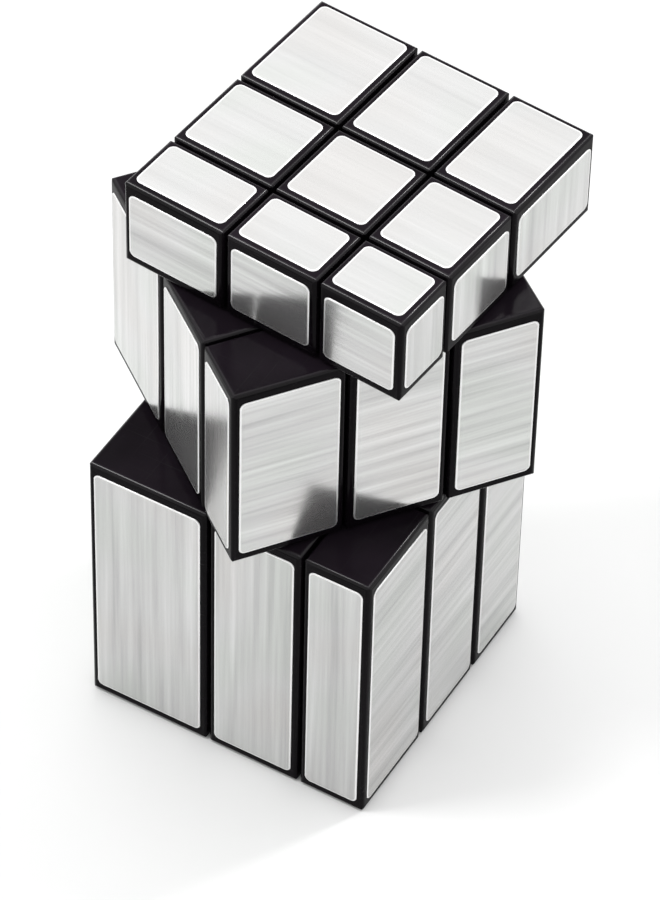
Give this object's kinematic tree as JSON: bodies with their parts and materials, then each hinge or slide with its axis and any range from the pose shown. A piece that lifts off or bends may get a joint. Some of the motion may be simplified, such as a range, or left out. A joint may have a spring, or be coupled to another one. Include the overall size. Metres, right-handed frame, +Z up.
{
  "type": "twisty puzzle",
  "caption": "Mirror-style twisty puzzle tower in black plastic with brushed silver tiles, its layers of unequal size turned against each other on a sprung core.",
  "frame": {"origin": "where the turning axis of the layers meets the surface that the puzzle stands on", "axes": "+Z up along the turning axis; X and Y along the sides of the bottom layer, -Y towards its thin front face and +X towards its thin right face"},
  "size_m": [0.079, 0.079, 0.1204],
  "materials": {
    "black_shell": "glossy moulded, rounded edges",
    "foil": "brushed foil",
    "feet": "bare moulded",
    "core": "bare moulded",
    "steel": "bright zinc"
  },
  "bodies": {
    "bottom_layer": {"bottom_front_left_corner": "black_shell", "bottom_front_right_corner": "black_shell", "bottom_back_left_corner": "black_shell", "bottom_back_right_corner": "black_shell", "bottom_front_edge": "black_shell", "bottom_back_edge": "black_shell", "bottom_left_edge": "black_shell", "bottom_right_edge": "black_shell", "bottom_edge_feet": "feet", "bottom_corner_feet": "feet", "bottom_side_foils": "foil", "bottom_face_foils": "foil"},
    "middle_layer": {"core": "core", "core_screws": "steel", "screw_washers": "steel", "tension_springs": "steel", "front_left_edge": "black_shell", "front_right_edge": "black_shell", "back_left_edge": "black_shell", "back_right_edge": "black_shell", "middle_edge_feet": "feet", "middle_side_foils": "foil"},
    "top_layer": {"top_front_left_corner": "black_shell", "top_front_right_corner": "black_shell", "top_back_left_corner": "black_shell", "top_back_right_corner": "black_shell", "top_front_edge": "black_shell", "top_back_edge": "black_shell", "top_left_edge": "black_shell", "top_right_edge": "black_shell", "top_edge_feet": "feet", "top_corner_feet": "feet", "top_side_foils": "foil", "top_face_foils": "foil"},
    "top_centre_piece": {"top_centre": "black_shell", "top_centre_cap": "black_shell", "top_centre_foil": "foil"},
    "bottom_centre_piece": {"bottom_centre": "black_shell", "bottom_centre_cap": "black_shell", "bottom_centre_foil": "foil"},
    "front_centre_piece": {"front_centre": "black_shell", "front_centre_cap": "black_shell", "front_centre_foil": "foil"},
    "back_centre_piece": {"back_centre": "black_shell", "back_centre_cap": "black_shell", "back_centre_foil": "foil"},
    "left_centre_piece": {"left_centre": "black_shell", "left_centre_cap": "black_shell", "left_centre_foil": "foil"},
    "right_centre_piece": {"right_centre": "black_shell", "right_centre_cap": "black_shell", "right_centre_foil": "foil"}
  },
  "joints": [
    {"name": "layer_turn_middle", "type": "hinge", "parent": "bottom_layer", "child": "middle_layer", "pos_m": [0, 0, 0.08095], "axis": [0, 0, 1], "continuous": true},
    {"name": "layer_turn_top", "type": "hinge", "parent": "middle_layer", "child": "top_layer", "pos_m": [0, 0, 0.08095], "axis": [0, 0, 1], "continuous": true},
    {"name": "spring_float_top", "type": "slide", "parent": "top_layer", "child": "top_centre_piece", "axis": [0, 0, 1], "range_m": [0, 0.0005], "stiffness_N_per_m": 1500, "springref_m": -0.001, "deforming": ["tension_springs"]},
    {"name": "spring_float_bottom", "type": "slide", "parent": "bottom_layer", "child": "bottom_centre_piece", "axis": [0, 0, -1], "range_m": [0, 0.0005], "stiffness_N_per_m": 1500, "springref_m": -0.001, "deforming": ["tension_springs"]},
    {"name": "spring_float_front", "type": "slide", "parent": "middle_layer", "child": "front_centre_piece", "axis": [-0.6018, -0.7986, 0], "range_m": [0, 0.0005], "stiffness_N_per_m": 1500, "springref_m": -0.001, "deforming": ["tension_springs"]},
    {"name": "spring_float_back", "type": "slide", "parent": "middle_layer", "child": "back_centre_piece", "axis": [0.6018, 0.7986, 0], "range_m": [0, 0.0005], "stiffness_N_per_m": 1500, "springref_m": -0.001, "deforming": ["tension_springs"]},
    {"name": "spring_float_left", "type": "slide", "parent": "middle_layer", "child": "left_centre_piece", "axis": [-0.7986, 0.6018, 0], "range_m": [0, 0.0005], "stiffness_N_per_m": 1500, "springref_m": -0.001, "deforming": ["tension_springs"]},
    {"name": "spring_float_right", "type": "slide", "parent": "middle_layer", "child": "right_centre_piece", "axis": [0.7986, -0.6018, 0], "range_m": [0, 0.0005], "stiffness_N_per_m": 1500, "springref_m": -0.001, "deforming": ["tension_springs"]}
  ]
}
